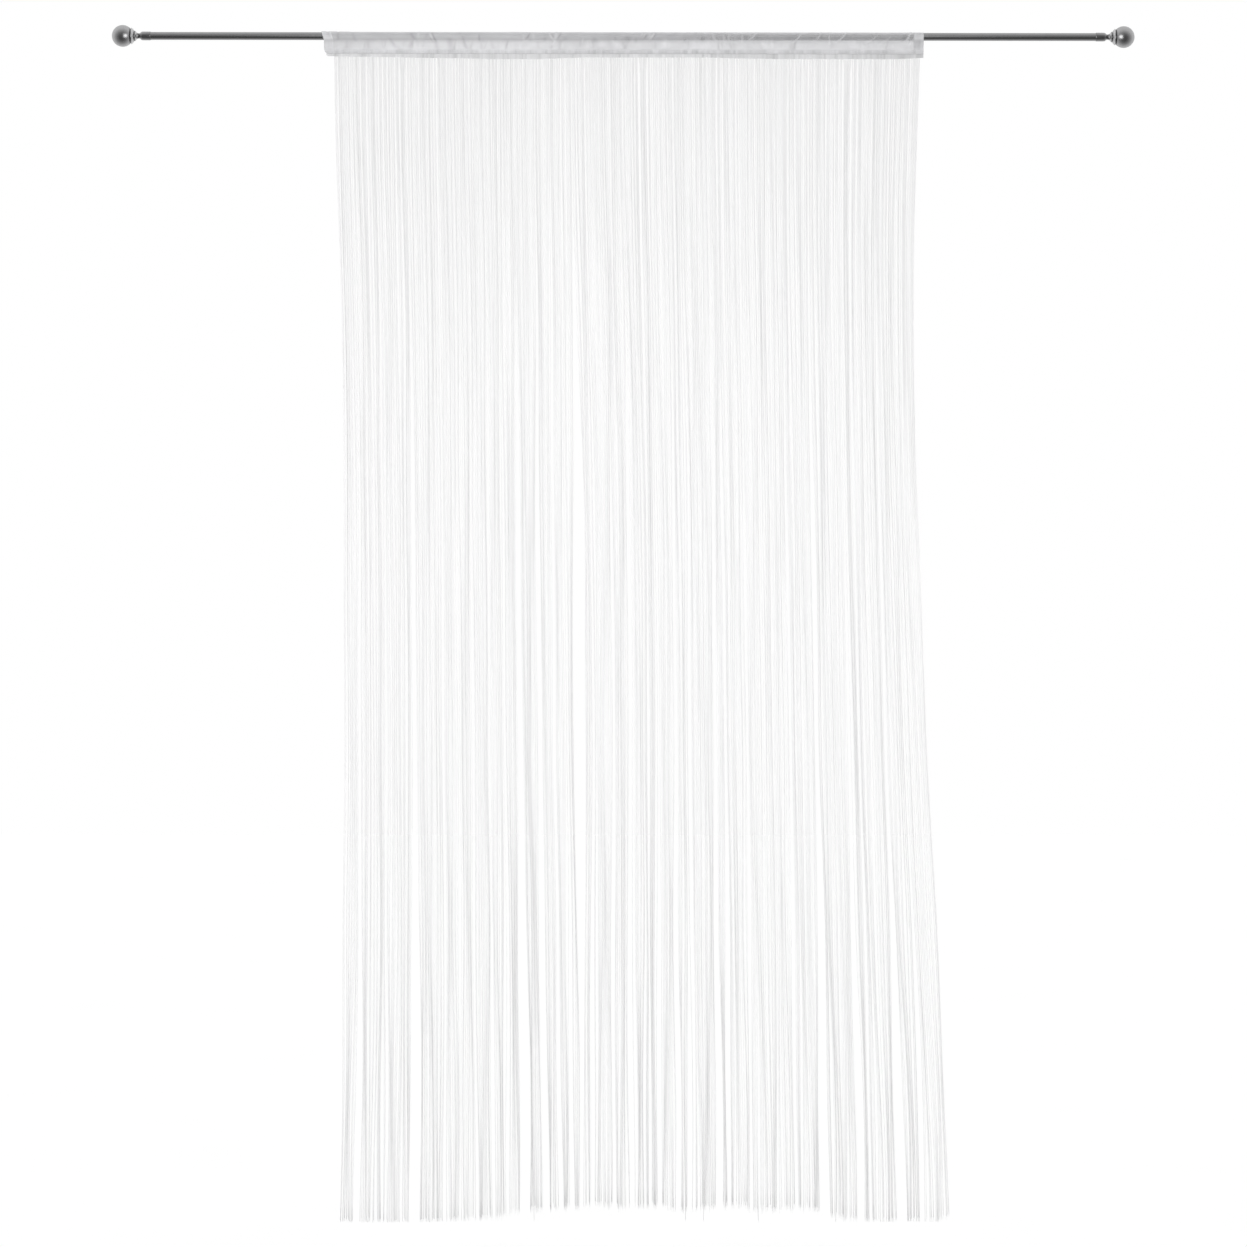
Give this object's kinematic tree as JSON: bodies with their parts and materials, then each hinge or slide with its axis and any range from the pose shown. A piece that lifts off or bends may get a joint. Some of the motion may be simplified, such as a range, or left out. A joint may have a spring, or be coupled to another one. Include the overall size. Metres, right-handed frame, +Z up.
{
  "type": "string curtain on a curtain rod",
  "caption": "Fringe curtain of fine hanging strings under a narrow sewn rod pocket, on a slim round metal rod with a ball finial at each end.",
  "frame": {"origin": "the middle of the rod's axis", "axes": "+X along the rod to the right as seen from the front, +Y towards the wall behind, +Z up, against the way the strings hang"},
  "size_m": [1.7198, 0.0358, 2.0095],
  "materials": {
    "rod_steel": "satin dark nickel, brushed round the rod",
    "finial_nickel": "satin nickel with dark grooves",
    "header_cloth": "thin white polyester cloth, a little sheer, with a machine-sewn seam",
    "string_yarn": "white knitted polyester yarn, slightly fluffy"
  },
  "bodies": {
    "root": {"rod_tube": "rod_steel", "finial_left": "finial_nickel", "finial_right": "finial_nickel", "header": "header_cloth", "strings": "string_yarn"}
  },
  "joints": []
}
